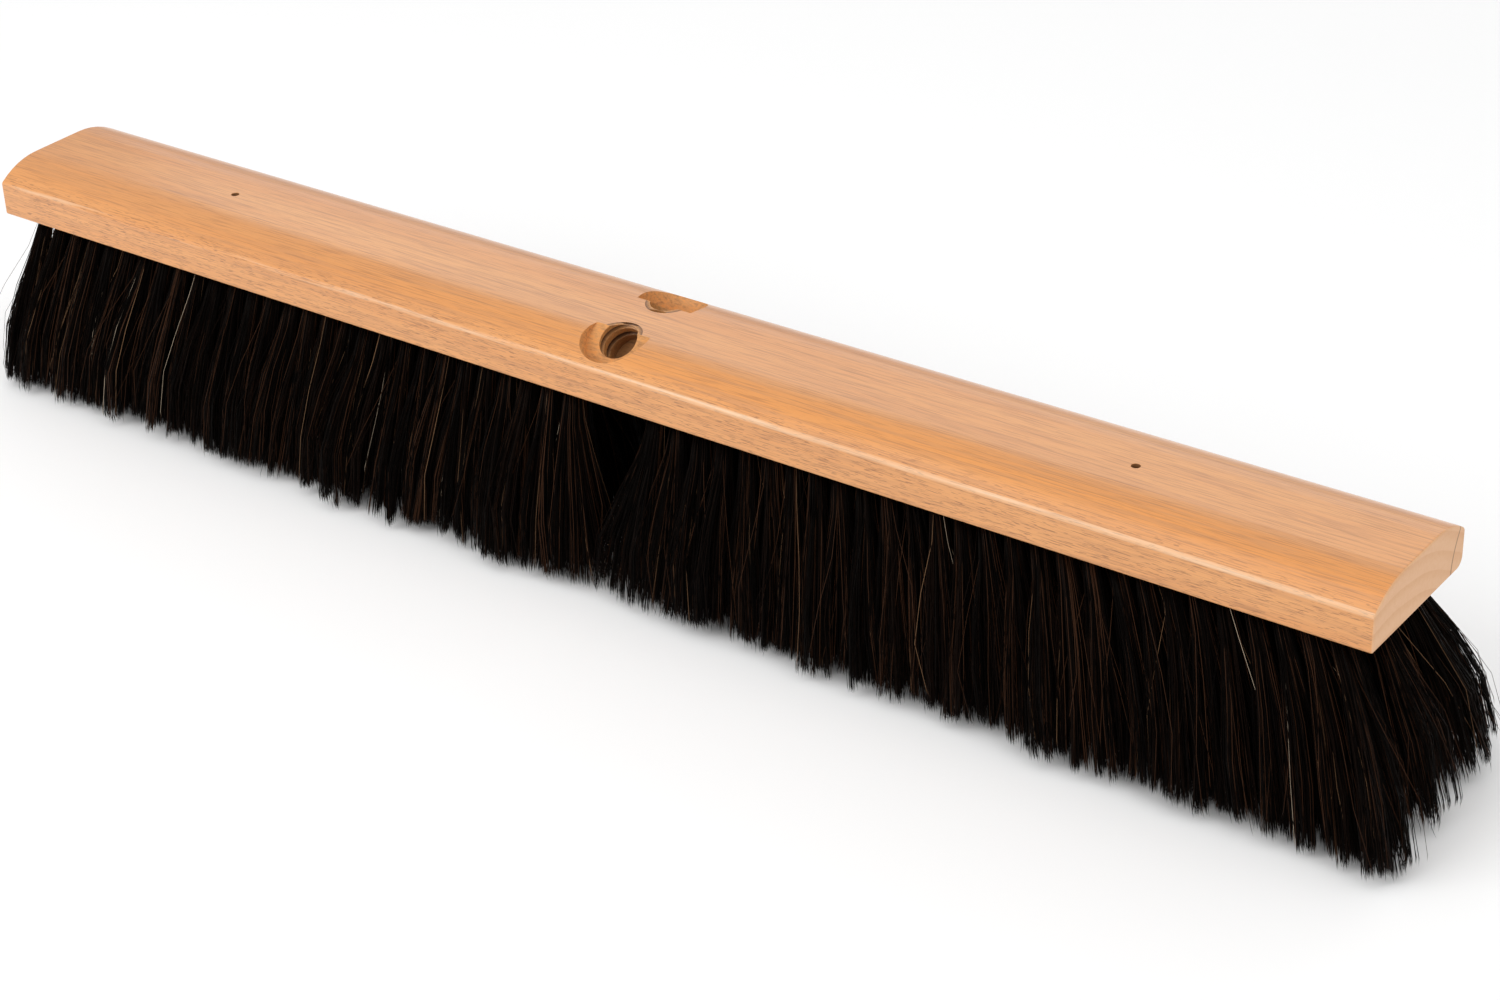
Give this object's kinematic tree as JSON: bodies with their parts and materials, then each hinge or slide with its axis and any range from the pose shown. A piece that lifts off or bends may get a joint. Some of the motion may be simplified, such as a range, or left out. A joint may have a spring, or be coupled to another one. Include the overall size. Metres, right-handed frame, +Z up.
{
  "type": "push broom head",
  "caption": "Long wooden push broom head with rows of dark natural hair tufts, leaning handle holes and brace pilot holes.",
  "frame": {"origin": "on the floor midway under the broom, where the trimmed hair stands; the block's underside is 73 mm above it", "axes": "+X along the block, +Y to the back, +Z up out of the block's flat top; one handle hole leans to -Y and the other to +Y"},
  "size_m": [0.645, 0.086, 0.0935],
  "materials": {
    "beech": "lacquered beech, satin, fine grain along the block",
    "hair": "dark brown-black natural hair bundles",
    "anchor_steel": "flat steel wire, hidden in the tuft holes"
  },
  "bodies": {
    "root": {"block": "beech", "tufts_row_1_left": "hair", "tufts_row_1_right": "hair", "tufts_row_2_left": "hair", "tufts_row_2_right": "hair", "tufts_row_3_left": "hair", "tufts_row_3_right": "hair", "tufts_row_4_left": "hair", "tufts_row_4_right": "hair", "tufts_row_5_left": "hair", "tufts_row_5_right": "hair", "tufts_row_6_left": "hair", "tufts_row_6_right": "hair", "anchors_row_1_left": "anchor_steel", "anchors_row_1_right": "anchor_steel", "anchors_row_2_left": "anchor_steel", "anchors_row_2_right": "anchor_steel", "anchors_row_3_left": "anchor_steel", "anchors_row_3_right": "anchor_steel", "anchors_row_4_left": "anchor_steel", "anchors_row_4_right": "anchor_steel", "anchors_row_5_left": "anchor_steel", "anchors_row_5_right": "anchor_steel", "anchors_row_6_left": "anchor_steel", "anchors_row_6_right": "anchor_steel"}
  },
  "joints": []
}
